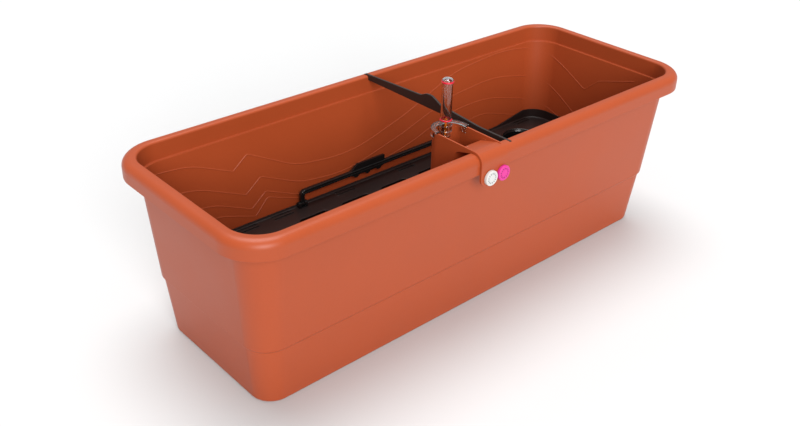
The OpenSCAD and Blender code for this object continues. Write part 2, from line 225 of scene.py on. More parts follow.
def new_piece(name: str, verts: Sequence[Sequence[float]], faces: Sequence[Sequence[int]],
              finish: MouldedPlastic | ClearPlastic | None = None) -> bpy.types.Object:
    """Make a mesh object at the origin, with its faces pointing outwards.

    Args:
        name: the piece's name.
        verts: its points in the row frame.
        faces: its faces as point numbers.
        finish: what it is made of, or None for a cutter.

    Returns:
        The new object.
    """
    mesh = bpy.data.meshes.new(name)
    mesh.from_pydata([tuple(v) for v in verts], [], [tuple(f) for f in faces])
    shape = bmesh.new()
    shape.from_mesh(mesh)
    bmesh.ops.remove_doubles(shape, verts=shape.verts, dist=1e-6)
    bmesh.ops.recalc_face_normals(shape, faces=shape.faces)
    shape.to_mesh(mesh)
    shape.free()
    piece = bpy.data.objects.new(name, mesh)
    bpy.context.scene.collection.objects.link(piece)
    if finish:
        mesh.materials.append(dressed(finish))
    return piece


def settle(piece: bpy.types.Object) -> bpy.types.Object:
    """Turn the piece and its modifiers into one plain mesh."""
    graph = bpy.context.evaluated_depsgraph_get()
    mesh = bpy.data.meshes.new_from_object(piece.evaluated_get(graph), depsgraph=graph)
    piece.modifiers.clear()
    old, piece.data = piece.data, mesh
    bpy.data.meshes.remove(old)
    return piece


def combine(piece: bpy.types.Object, other: bpy.types.Object, how: str) -> bpy.types.Object:
    """Cut the other piece out of this one, or weld it on, and remove the other.

    Args:
        piece: what stays.
        other: the cutter or the addition.
        how: DIFFERENCE or UNION.

    Returns:
        The piece.
    """
    change = piece.modifiers.new(how.lower(), "BOOLEAN")
    change.operation, change.solver, change.object = how, "EXACT", other
    settle(piece)
    bpy.data.objects.remove(other)
    return piece


def smoothed(piece: bpy.types.Object, bevel: float = 0.0, steps: int = 2,
             angle: float = 32.0) -> bpy.types.Object:
    """Round the sharp edges and shade the rest smoothly.

    Args:
        piece: the piece to finish.
        bevel: width of the rounding, or 0 for none.
        steps: facets across the rounding.
        angle: edges sharper than this, in degrees, are rounded and stay crisp.

    Returns:
        The piece.
    """
    if bevel:
        cut = piece.modifiers.new("round", "BEVEL")
        cut.width, cut.segments, cut.limit_method = bevel, steps, "ANGLE"
        cut.angle_limit, cut.harden_normals = math.radians(angle), False
        settle(piece)
    piece.data.shade_smooth()
    piece.data.set_sharp_from_angle(angle=math.radians(angle))
    even = piece.modifiers.new("even", "WEIGHTED_NORMAL")
    even.keep_sharp = True
    return settle(piece)


def joined(first: bpy.types.Object, *others: bpy.types.Object) -> bpy.types.Object:
    """Gather separate closed shells into the first object."""
    shape = bmesh.new()
    for piece in (first, *others):
        shape.from_mesh(piece.data)
    shape.to_mesh(first.data)
    shape.free()
    for piece in others:
        bpy.data.objects.remove(piece)
    return first


def adopt(piece: bpy.types.Object, body: str, slot: str, *nodes: str) -> bpy.types.Object:
    """Put a finished piece on its body, hide the nodes it stands for, and report it.

    Args:
        piece: the finished piece.
        body: the body it rides on.
        slot: not used.
        nodes: the CAD nodes it replaces.

    Returns:
        The piece.
    """
    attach(piece, body)
    if nodes:
        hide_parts(*nodes)
    log.info("%s rides on %s with %d faces", piece.name, body, len(piece.data.polygons))
    return piece


def arc(centre: Point2, radius: float, start: float, stop: float, steps: int) -> list[Point2]:
    """Points along an arc, angles in degrees."""
    turns = [math.radians(start + (stop - start) * k / steps) for k in range(steps + 1)]
    return [(centre[0] + radius * math.cos(a), centre[1] + radius * math.sin(a)) for a in turns]


def rounded(corners: Sequence[tuple[float, float, float]], steps: int = 6,
            closed: bool = True) -> list[Point2]:
    """Round the corners of an outline.

    Args:
        corners: each corner's place and its rounding radius.
        steps: points in each rounding.
        closed: False leaves the first and last corner as they are.

    Returns:
        The outline's points.
    """
    out: list[Point2] = []
    count = len(corners)
    for i, (x, y, radius) in enumerate(corners):
        here = Vector((x, y))
        ends = not closed and i in (0, count - 1)
        before = Vector(corners[i - 1][:2]) - here
        after = Vector(corners[(i + 1) % count][:2]) - here
        if radius <= 0 or ends or before.length < 1e-9 or after.length < 1e-9:
            out.append((x, y))
            continue
        half = before.angle(after) / 2
        if abs(half - math.pi / 2) < 1e-3:
            out.append((x, y))
            continue
        back = min(radius / math.tan(half), before.length * 0.49, after.length * 0.49)
        true_radius = back * math.tan(half)
        a, b = here + before.normalized() * back, here + after.normalized() * back
        centre = here + (before.normalized() + after.normalized()).normalized() * (
            true_radius / math.sin(half))
        start, stop = (a - centre), (b - centre)
        sweep = start.angle_signed(stop)
        for k in range(steps + 1):
            out.append(tuple(centre + Matrix.Rotation(-sweep * k / steps, 2) @ start))
    return out


def extruded(name: str, outline: Sequence[Point2], low: float, high: float,
             lay: Callable[[float, float, float], Point3],
             finish: MouldedPlastic | ClearPlastic | None = None) -> bpy.types.Object:
    """Extrude a flat outline.

    Args:
        name: the piece's name.
        outline: the outline's points.
        low: where the extrusion starts.
        high: where it ends.
        lay: turns (u, v, depth) into a point of the row frame.
        finish: what it is made of, or None for a cutter.

    Returns:
        The new object.
    """
    n = len(outline)
    verts = [lay(u, v, low) for u, v in outline] + [lay(u, v, high) for u, v in outline]
    sides = [(i, (i + 1) % n, n + (i + 1) % n, n + i) for i in range(n)]
    return new_piece(name, verts, [tuple(range(n))[::-1], tuple(range(n, 2 * n)), *sides], finish)


def along_x(u: float, v: float, depth: float) -> Point3:
    """Lay an outline in the YZ plane."""
    return depth, u, v


def along_y(u: float, v: float, depth: float) -> Point3:
    """Lay an outline in the XZ plane."""
    return u, depth, v


def along_z(u: float, v: float, depth: float) -> Point3:
    """Lay an outline in the XY plane."""
    return u, v, depth


def box_cutter(low: Sequence[float], high: Sequence[float]) -> bpy.types.Object:
    """A plain block that cuts, between two corners."""
    plan = [(low[0], low[1]), (high[0], low[1]), (high[0], high[1]), (low[0], high[1])]
    return extruded("cutter", plan, low[2], high[2], along_z)


def lathe(name: str, profile: Sequence[Point2],
          place: Callable[[float, float, float], Sequence[float]],
          finish: MouldedPlastic | ClearPlastic | None = None, steps: int = 64) -> bpy.types.Object:
    """Turn a profile round an axis. A point on the axis closes into a pole.

    Args:
        name: the piece's name.
        profile: (radius, height) points, the last joined to the first.
        place: turns (u, v, height) into a point of the row frame.
        finish: what it is made of, or None for a cutter.
        steps: facets round the axis.

    Returns:
        The new object.
    """
    verts: list[Sequence[float]] = []
    rows: list[list[int]] = []
    for radius, height in profile:
        if radius < 1e-7:
            rows.append([len(verts)] * steps)
            verts.append(place(0, 0, height))
            continue
        rows.append(list(range(len(verts), len(verts) + steps)))
        verts += [place(radius * math.cos(math.tau * k / steps),
                        radius * math.sin(math.tau * k / steps), height) for k in range(steps)]
    faces = []
    for i, row in enumerate(rows):
        after = rows[(i + 1) % len(rows)]
        for k in range(steps):
            loop = [row[k], row[(k + 1) % steps], after[(k + 1) % steps], after[k]]
            face = list(dict.fromkeys(loop))
            if len(face) > 2:
                faces.append(face)
    return new_piece(name, verts, faces, finish)


def upright(x: float, y: float) -> Callable[[float, float, float], Sequence[float]]:
    """Place a turned profile on a vertical axis at x, y."""
    return lambda u, v, h: (x + u, y + v, h)


def lengthwise(x: float, z: float) -> Callable[[float, float, float], Sequence[float]]:
    """Place a turned profile on an axis along Y, at x and z."""
    return lambda u, v, h: (x + u, h, z + v)


def plan_ring(half_x: float, half_y: float, radius: float, steps: int) -> list[Point2]:
    """A rounded rectangle, anticlockwise from +X."""
    cx, cy = half_x - radius, half_y - radius
    return [p for q, (sx, sy) in enumerate(((1, 1), (-1, 1), (-1, -1), (1, -1)))
            for p in arc((sx * cx, sy * cy), radius, 90 * q, 90 * q + 90, steps)]


def lofted(name: str, rings: Sequence[Sequence[Sequence[float]]],
           finish: MouldedPlastic | ClearPlastic | None = None) -> bpy.types.Object:
    """Skin a stack of rings that all have the same number of points, and cap both ends."""
    n = len(rings[0])
    verts = [p for ring in rings for p in ring]
    faces = [(i * n + j, i * n + (j + 1) % n, (i + 1) * n + (j + 1) % n, (i + 1) * n + j)
             for i in range(len(rings) - 1) for j in range(n)]
    caps = [tuple(range(n))[::-1], tuple(range((len(rings) - 1) * n, len(rings) * n))]
    return new_piece(name, verts, caps + faces, finish)


def from_node(node: str, name: str, finish: MouldedPlastic | ClearPlastic,
              bevel: float) -> bpy.types.Object:
    """Copy a CAD node, merge its loose triangles, and round its edges.

    Args:
        node: the CAD node.
        name: the new piece's name.
        finish: what it is made of.
        bevel: width of the rounding.

    Returns:
        The new object.
    """
    shape = bmesh.new()
    shape.from_mesh(frame["nodes"][node].data)
    bmesh.ops.remove_doubles(shape, verts=shape.verts, dist=2e-6)
    bmesh.ops.dissolve_limit(shape, angle_limit=math.radians(0.6), verts=shape.verts,
                             edges=shape.edges)
    mesh = bpy.data.meshes.new(name)
    shape.to_mesh(mesh)
    shape.free()
    mesh.materials.append(dressed(finish))
    piece = bpy.data.objects.new(name, mesh)
    bpy.context.scene.collection.objects.link(piece)
    return smoothed(piece, bevel)


# ---------------------------------------------------------------- geometry node trees

class NodeRule:
    """A geometry node tree with named inputs that grows a piece from a plain seed mesh."""

    def __init__(self, name: str, inputs: dict[str, float],
                 finish: MouldedPlastic | ClearPlastic) -> None:
        """Start the tree.

        Args:
            name: the tree's name.
            inputs: each named size with its value.
            finish: what the grown piece is made of.
        """
        self.inputs, self.finish = inputs, finish
        self.tree = bpy.data.node_groups.new(name, "GeometryNodeTree")
        face = self.tree.interface
        face.new_socket("Geometry", in_out="INPUT", socket_type="NodeSocketGeometry")
        self.sockets = {
            label: face.new_socket(label, in_out="INPUT", socket_type="NodeSocketFloat")
            for label in inputs}
        face.new_socket("Geometry", in_out="OUTPUT", socket_type="NodeSocketGeometry")
        self.given = self.node("NodeGroupInput").outputs

    def node(self, kind: str, inputs: dict[Any, Any] | None = None,
             **settings: Any) -> bpy.types.Node:
        """Add a node to this tree."""
        return add_node(self.tree, kind, inputs, **settings)

    def grow(self, shape: bpy.types.NodeSocket, seed: bpy.types.Object) -> bpy.types.Object:
        """End the tree, run it on the seed mesh, and leave a plain mesh.

        Args:
            shape: the geometry that the tree has made.
            seed: the object whose mesh holds the starting points or path.

        Returns:
            The seed object with the grown mesh.
        """
        real = self.node("GeometryNodeRealizeInstances", {0: shape})
        soft = self.node("GeometryNodeSetShadeSmooth", {0: real.outputs[0]})
        paint = self.node("GeometryNodeSetMaterial", {0: soft.outputs[0],
                                                      "Material": dressed(self.finish)})
        self.node("NodeGroupOutput", {0: paint.outputs[0]})
        rule = seed.modifiers.new(self.tree.name, "NODES")
        rule.node_group = self.tree
        for label, value in self.inputs.items():
            rule[self.sockets[label].identifier] = value
        return settle(seed)


def path_beads(name: str, paths: Sequence[Sequence[Sequence[float]]], radius: float,
               finish: MouldedPlastic, closed: bool = False) -> bpy.types.Object:
    """Run a thin round bead along each path.

    Args:
        name: the piece's name.
        paths: lists of points in the row frame.
        radius: the bead's radius.
        finish: what it is made of.
        closed: True joins each path's last point to its first.

    Returns:
        The bead piece.
    """
    verts, edges = [], []
    for path in paths:
        start = len(verts)
        verts += [tuple(p) for p in path]
        edges += [(start + i, start + i + 1) for i in range(len(path) - 1)]
        if closed:
            edges.append((start + len(path) - 1, start))
    mesh = bpy.data.meshes.new(name)
    mesh.from_pydata(verts, edges, [])
    seed = bpy.data.objects.new(name, mesh)
    bpy.context.scene.collection.objects.link(seed)
    rule = NodeRule(f"{name}_rule", {"Bead radius": radius}, finish)
    line = rule.node("GeometryNodeMeshToCurve", {0: rule.given[0]})
    section = rule.node("GeometryNodeCurvePrimitiveCircle",
                        {"Resolution": 8, "Radius": rule.given["Bead radius"]})
    bead = rule.node("GeometryNodeCurveToMesh", {0: line.outputs[0], 1: section.outputs[0],
                                                 "Fill Caps": True})
    return rule.grow(bead.outputs[0], seed)


# ---------------------------------------------------------------- the trough

@dataclass
class Trough:
    """The outer box: base, stepped walls and rolled rim, with its notches and drain hole."""
    wall: float = 3 * MM
    rim_height: float = 24.5 * MM
    rim_out: float = 18 * MM
    rim_skin: float = 3 * MM
    rim_round: float = 11 * MM
    rim_corner: float = 55.5 * MM
    step: float = 83 * MM
    ledge: float = 88 * MM
    drain_x: float = 300 * MM
    drain_z: float = 18 * MM
    drain_r: float = 6 * MM
    boss_wall: float = 4 * MM
    boss_depth: float = 11.5 * MM
    notch_floor: float = 248 * MM
    notch_in: float = 20.5 * MM
    notch_side: float = 0.4 * MM
    notch_end: float = 0.3 * MM
    base_lean: float = 21 * MM
    low_lean: float = 13 * MM
    high_lean: float = 10.5 * MM
    corner_loss: float = 15.5 * MM
    corner_rate: float = 0.52
    corner_steps: int = 18
    relief_r: float = 1.2 * MM
    relief_sink: float = 0.75 * MM

    def __post_init__(self) -> None:
        """Read the overall size from the frame."""
        low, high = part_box("trough")
        self.half_x, self.half_y, self.height = high.x, high.y, high.z
        self.rim_low = self.height - self.rim_height
        self.step_top = self.step + 3.5 * MM

    def wall_inset(self, z: float) -> float:
        """How far the outside wall stands in from the rim's face, above the step."""
        rise = (z - self.step_top) / (self.rim_low - self.step_top)
        return self.rim_out + self.high_lean * (1 - rise)

    def corner(self, inset: float) -> float:
        """Corner radius at an inset from the rim's face."""
        if inset <= self.rim_out:
            return self.rim_corner - self.corner_loss * inset / self.rim_out
        return self.rim_corner - self.corner_loss - self.corner_rate * (inset - self.rim_out)

    def ring(self, z: float, inset: float) -> list[Point3]:
        """One ring of the skin."""
        plan = plan_ring(self.half_x - inset, self.half_y - inset, self.corner(inset),
                         self.corner_steps)
        return [(x, y, z) for x, y in plan]

    def section(self) -> list[Point2]:
        """The wall's section as (height, inset) points, from the base round to the inside floor."""
        base_in, low_in, high_in = (self.rim_out + lean for lean in (
            self.base_lean, self.low_lean, self.high_lean))
        centre = (self.rim_round, self.height - self.rim_round)
        under = [(z, i) for i, z in arc(centre, self.rim_round - self.rim_skin, 80, 180, 6)]
        over = [(z, i) for i, z in arc(centre, self.rim_round, 180, 90, 12)]
        lip_r = 3 * MM
        lip_centre = (self.rim_out - lip_r, self.height - lip_r)
        lip = [(z, i) for i, z in arc(lip_centre, lip_r, 90, 0, 5)]
        foot = [(z, i) for i, z in arc((base_in + 4 * MM, 4.4 * MM), 4.4 * MM, 270, 185, 5)]
        inside_in = self.wall_inset(self.rim_low) + self.wall
        well = [(z, i) for i, z in arc((base_in + self.wall + 5 * MM, self.wall + 5 * MM),
                                       5 * MM, 184, 270, 6)]
        return [*foot, (self.step - 0.4 * MM, low_in), (self.step, low_in - 0.1 * MM),
                (self.step_top - 0.5 * MM, high_in + 0.2 * MM), (self.step_top, high_in),
                (self.rim_low - 3 * MM, self.rim_out + 0.2 * MM),
                (self.rim_low + 1.5 * MM, self.rim_out - self.rim_skin),
                (self.height - 4.4 * MM, self.rim_out - self.rim_skin), *under,
                (self.rim_low, self.rim_skin), (self.rim_low, 0.6 * MM),
                (self.rim_low + 0.5 * MM, 0.1 * MM), *over, *lip,
                (self.rim_low, self.rim_out + 0.3 * MM),
                (self.rim_low - 0.6 * MM, self.rim_out + 0.7 * MM),
                (self.rim_low - 1.0 * MM, inside_in - 0.3 * MM),
                (self.rim_low - 1.5 * MM, inside_in),
                (self.ledge, self.wall_inset(self.ledge) + self.wall),
                (self.ledge, low_in + self.wall), *well]

    def inner_wall(self, along: float, z: float, sink: float) -> Point3:
        """A point on the inside wall.

        Args:
            along: distance round the wall from the middle of the back, towards +X, or
                towards -X where it is negative.
            z: its height.
            sink: how far behind the surface it lies.

        Returns:
            The point in the row frame.
        """
        inset = self.wall_inset(z) + self.wall - sink
        hx, hy = self.half_x - inset, self.half_y - inset
        r = self.corner(self.wall_inset(z)) - self.wall + sink
        flat_x, flat_y, bend = hx - r, hy - r, math.pi * r / 2
        side, along = math.copysign(1.0, along), abs(along)
        if along <= flat_x:
            return side * along, hy, z
        if along <= flat_x + bend:
            a = math.pi / 2 - (along - flat_x) / r
            return side * (flat_x + r * math.cos(a)), flat_y + r * math.sin(a), z
        return side * hx, flat_y - (along - flat_x - bend), z

    def shell(self) -> bpy.types.Object:
        """Build the box, weld on the drain boss, and cut the drain and the notches."""
        shell = lofted("trough_shell", [self.ring(z, i) for z, i in self.section()], TERRACOTTA)
        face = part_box("plug_seal")[0].y - 0.05 * MM
        back = face - self.boss_depth
        spot = lengthwise(self.drain_x, self.drain_z)
        boss_r = self.drain_r + self.boss_wall
        boss = lathe("boss", [(0, back), (boss_r, back), (boss_r, face - 0.8 * MM),
                              (self.drain_r + 3.4 * MM, face), (0, face)], spot, None, 48)
        hole = lathe("hole", [(0, back - 2 * MM), (self.drain_r, back - 2 * MM),
                              (self.drain_r, face + 2 * MM), (0, face + 2 * MM)], spot, None, 48)
        low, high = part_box("cross_brace")
        inner, outer = self.half_y - self.notch_in, high.y + self.notch_end
        for side in (1, -1):
            y0, y1 = sorted((side * inner, side * outer))
            notch = box_cutter((low.x - self.notch_side, y0, self.notch_floor),
                               (high.x + self.notch_side, y1, self.height + OVERSHOOT))
            combine(shell, notch, "DIFFERENCE")
        combine(shell, boss, "UNION")
        combine(shell, hole, "DIFFERENCE")
        return smoothed(shell, 0.0, 2, 28)

    def relief_lines(self) -> bpy.types.Object:
        """Four nested contour lines on the inside wall, moulded as thin raised threads.

        Each line falls into a notch near one end of the long wall, climbs to a crest near the
        other, and falls to a second notch in the middle of the end wall. The other long wall and
        end have the same lines, turned half round.
        """
        def line(corners: Sequence[tuple[float, float, float]]) -> list[Point2]:
            """Round a line's corners and step along it evenly."""
            path = rounded([(x * MM, z * MM, r * MM) for x, z, r in corners], 10, closed=False)
            out = [path[0]]
            for a, b in zip(path, path[1:]):
                gap = math.dist(a, b)
                count = max(1, round(gap / (4 * MM)))
                out += [(a[0] + (b[0] - a[0]) * k / count, a[1] + (b[1] - a[1]) * k / count)
                        for k in range(1, count + 1)]
            return out

        contours = [
            [(-364, 214, 0), (-300, 209, 120), (-237, 181, 4), (-213, 199, 5), (-135, 158, 110),
             (-40, 146, 260), (70, 176, 400), (180, 219, 190), (300, 229, 330), (400, 207, 300),
             (464, 172, 5), (492, 194, 14), (560, 214, 0)],
            [(-345, 180, 0), (-290, 172, 120), (-221, 141, 4), (-195, 160, 5), (-130, 130, 110),
             (-50, 120, 260), (60, 146, 400), (170, 180, 190), (270, 188, 260), (390, 160, 300),
             (448, 124, 5), (480, 148, 14), (560, 172, 0)],
            [(-320, 148, 0), (-270, 142, 100), (-214, 117, 4), (-189, 136, 5), (-130, 110, 110),
             (-40, 108, 260), (70, 124, 400), (170, 154, 190), (250, 157, 230), (370, 123, 260),
             (440, 101, 0)],
            [(-300, 126, 0), (-260, 122, 80), (-209, 104, 4), (-187, 126, 5), (-150, 112, 60),
             (-120, 101, 0)],
            [(150, 101, 0), (190, 124, 90), (240, 133, 190), (340, 101, 0)],
        ]
        paths = []
        for corners in contours:
            points = [self.inner_wall(along, z, self.relief_sink) for along, z in line(corners)]
            paths += [points, [(-x, -y, z) for x, y, z in points]]
        # The beads take the lighter terracotta: a painted highlight along the threads.
        return path_beads("relief_lines", paths, self.relief_r, RELIEF_PAINTED_HIGHLIGHT)

    def build(self) -> None:
        """Make both pieces and tie them to the trough."""
        adopt(self.shell(), "trough", "terracotta_plastic", "trough")
        adopt(self.relief_lines(), "trough", "terracotta_plastic")


# ---------------------------------------------------------------- the false floor and its cups

@dataclass
class Insert:
    """The lift-out false floor with its slots, end collars, wick cups and handle brackets."""
    plate: float = 3 * MM
    edge: float = 2.3 * MM
    low_edge: float = 3 * MM
    collar: float = 15 * MM
    fillet: float = 2.4 * MM
    slot_size: tuple[float, float] = (33 * MM, 2.6 * MM)
    window_size: tuple[float, float] = (50 * MM, 12 * MM)
    slot_x: tuple[float, ...] = (-0.328, -0.230, -0.172, -0.060, 0.060, 0.172, 0.230, 0.328)
    slot_y: tuple[float, ...] = (0.107, 0.114)
    window_x: tuple[float, ...] = (-0.140, -0.065, 0.010, 0.085, 0.160)
    window_y: float = 78 * MM
    cup_r: float = 30 * MM
    cup_foot_r: float = 21 * MM
    cup_wall: float = 2 * MM
    cup_stand: float = 3.2 * MM
    mouth_r: float = 1.7 * MM
    cup_slots: int = 6
    shaft_gap: float = 0.8 * MM
    front_clear: float = 40 * MM

    def __post_init__(self) -> None:
        """Read the plate's place from the frame."""
        low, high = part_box("false_floor")
        self.half_x, self.half_y, self.foot = high.x, high.y, low.z
        self.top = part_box("wick_cup_front_left")[1].z - self.cup_stand
        trough = Trough()
        inset = trough.wall_inset(trough.ledge) + trough.wall
        self.radius = trough.corner(inset) - 0.6 * MM

    def edge_height(self, x: float) -> float:
        """Height of the upturned edge: low along the sides, and sweeping up round the ends."""
        start, full = self.half_x - 95 * MM, self.half_x - 25 * MM
        rise = (self.collar + 1 * MM - self.low_edge) * max(0.0, (abs(x) - start) / (full - start))
        return min(self.collar, self.low_edge + rise)

    def base_plan(self) -> list[Point2]:
        """The skirt's outline, with its straight sides split about every 20 mm."""
        plan = plan_ring(self.half_x, self.half_y, self.radius, 16)
        spaced: list[Point2] = []
        for (x0, y0), (x1, y1) in zip(plan, plan[1:] + plan[:1]):
            count = max(1, round(math.dist((x0, y0), (x1, y1)) / (20 * MM)))
            spaced += [(x0 + (x1 - x0) * k / count, y0 + (y1 - y0) * k / count)
                       for k in range(count)]
        return spaced

    def fixed_rings(self) -> list[list[Point3]]:
        """The rings from the underside, round the skirt and collar, to the plate's top."""
        base = self.base_plan()

        def scaled(inset: float, height: Callable[[float], float]) -> list[Point3]:
            """Move the skirt's outline inwards, keeping its number of points.

            Args:
                inset: how far the ring stands in from the skirt.
                height: the ring's height, worked out from x.

            Returns:
                The ring's points.
            """
            out = []
            cx, cy = self.half_x - self.radius, self.half_y - self.radius
            for x, y in base:
                core = Vector((max(-cx, min(cx, x)), max(-cy, min(cy, y))))
                away = Vector((x, y)) - core
                spot = core + away.normalized() * (away.length - inset)
                out.append((spot.x, spot.y, height(x)))
            return out

        lift = self.edge_height
        bend = [(self.edge + self.fillet * (1 - math.cos(a)), self.fillet * (1 - math.sin(a)))
                for a in (math.radians(d) for d in (0, 18, 36, 54, 72, 90))]
        inner = [scaled(inset, lambda x, rise=rise: self.top + rise) for inset, rise in bend]
        under = self.top - self.plate
        return [scaled(self.edge + 0.4 * MM, lambda x: under),
                scaled(self.edge, lambda x: under - 0.4 * MM),
                scaled(self.edge, lambda x: self.foot + 0.3 * MM),
                scaled(self.edge - 0.3 * MM, lambda x: self.foot),
                scaled(0.3 * MM, lambda x: self.foot),
                scaled(0, lambda x: self.foot + 0.3 * MM),
                scaled(0, lambda x: self.top + lift(x) - 0.5 * MM),
                scaled(0.25 * MM, lambda x: self.top + lift(x) - 0.15 * MM),
                scaled(0.7 * MM, lambda x: self.top + lift(x)),
                scaled(self.edge - 0.7 * MM, lambda x: self.top + lift(x)),
                scaled(self.edge - 0.25 * MM, lambda x: self.top + lift(x) - 0.15 * MM), *inner]

    def slot_plan(self, x: float, y: float, size: tuple[float, float]) -> list[Point2]:
        """A slot with round ends."""
        r = size[1] / 2
        reach = size[0] / 2 - r
        return arc((x + reach, y), r, -90, 90, 8) + arc((x - reach, y), r, 90, 270, 8)

    def slot_places(self) -> list[Point2]:
        """Each slot's middle. There are none in front where the shaft passes."""
        shaft = FillingShaft().x
        return [(x, side * y) for x in self.slot_x for y in self.slot_y for side in (-1, 1)
                if side > 0 or abs(x - shaft) > self.front_clear]

    def openings(self) -> list[list[Point2]]:
        """Every opening through the plate but the round ones."""
        slots = [self.slot_plan(x, y, self.slot_size) for x, y in self.slot_places()]
        windows = [self.slot_plan(x, self.window_y, self.window_size) for x in self.window_x]
        return slots + windows

    def cup_places(self) -> dict[str, Point2]:
        """Each wick cup's node with its axis."""
        names = [n for n in frame["nodes"] if n.startswith("wick_cup_")]
        return {n: tuple(((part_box(n)[0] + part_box(n)[1]) / 2).xy) for n in sorted(names)}

    def floor(self) -> bpy.types.Object:
        """Loft the plate with its skirt and collar, and cut every opening."""
        plate = lofted("false_floor_plate", self.fixed_rings(), INSERT)
        low, high = self.top - self.plate - 1 * MM, self.top + 1 * MM
        slots = [extruded("slot", plan, low, high, along_z) for plan in self.openings()]
        hole_r = self.cup_r + 0.2 * MM
        cups = [lathe("cup_hole", [(0, low), (hole_r, low), (hole_r, high), (0, high)],
                      upright(x, y), None, 72)
                for x, y in self.cup_places().values()]
        shaft = extruded("shaft_hole", FillingShaft().plan(self.shaft_gap), low, high, along_z)
        for cutter in (joined(*slots), joined(*cups), shaft):
            combine(plate, cutter, "DIFFERENCE")
        return smoothed(plate, 0.0, 2, 30)

    def slot_lips(self) -> bpy.types.Object:
        """Fine raised lips round the slots and windows."""
        grow = 0.9 * MM
        slot = tuple(length + grow for length in self.slot_size)
        window = tuple(length + 2 * grow for length in self.window_size)
        paths = [self.slot_plan(x, y, slot) for x, y in self.slot_places()]
        paths += [self.slot_plan(x, self.window_y, window) for x in self.window_x]
        loops = [[(x, y, self.top) for x, y in plan] for plan in paths]
        return path_beads("slot_lips", loops, 0.55 * MM, INSERT, closed=True)

    def cup(self, node: str, x: float, y: float) -> bpy.types.Object:
        """Turn a wick cup, with a rolled glossy mouth, and cut its water slots."""
        low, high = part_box(node)
        floor, top, wall = low.z, high.z, self.cup_wall
        seat = self.top + 0.05 * MM
        seat_r = self.cup_r + 3.5 * MM
        mouth = arc((self.cup_r + 1.2 * MM, top - self.mouth_r), self.mouth_r, 0, 180, 10)
        profile = [(0, floor), (self.cup_foot_r - 1 * MM, floor), (self.cup_foot_r, floor + 1 * MM),
                   (self.cup_r, self.top - self.plate), (self.cup_r, seat), (seat_r, seat),
                   (seat_r, seat + 0.8 * MM), *mouth,
                   (self.cup_r - wall, top - 4 * MM), (self.cup_r - wall, self.top - self.plate),
                   (self.cup_foot_r - wall, floor + 3 * MM),
                   (self.cup_foot_r - 2 * wall, floor + wall),
                   (0, floor + wall)]
        cup = lathe(f"{node}_moulding", profile, upright(x, y), GLOSS_BLACK, 72)
        blades = []
        for k in range(self.cup_slots):
            angle = math.radians(60 * k + 30)
            turn = Matrix.Translation((x, y, 0)) @ Matrix.Rotation(angle, 4, "Z")
            blade = extruded("blade", self.tall_slot(), self.cup_foot_r - 6 * MM, 36 * MM, along_x)
            blade.data.transform(turn)
            blades.append(blade)
        combine(cup, joined(*blades), "DIFFERENCE")
        return smoothed(cup, 0.0, 2, 30)

    def tall_slot(self) -> list[Point2]:
        """A water slot's outline on the cup's side, 56 mm tall with round ends."""
        r = 2 * MM
        return arc((0, 68 * MM), r, 0, 180, 8) + arc((0, 16 * MM), r, 180, 360, 8)

    def build(self) -> None:
        """Make the floor, its lips, the cups and the brackets."""
        collars = [node for node in frame["nodes"] if node.startswith("end_collar")]
        adopt(self.floor(), "insert", "insert_plastic", "false_floor", *collars)
        adopt(self.slot_lips(), "insert", "insert_plastic")
        for node, (x, y) in self.cup_places().items():
            adopt(self.cup(node, x, y), "insert", "gloss_black_plastic", node)
        for side in ("left", "right"):
            node = f"handle_bracket_{side}"
            adopt(from_node(node, f"{node}_moulding", GLOSS_BLACK, 0.5 * MM), "insert",
                  "gloss_black_plastic", node)


# ---------------------------------------------------------------- the lift handle

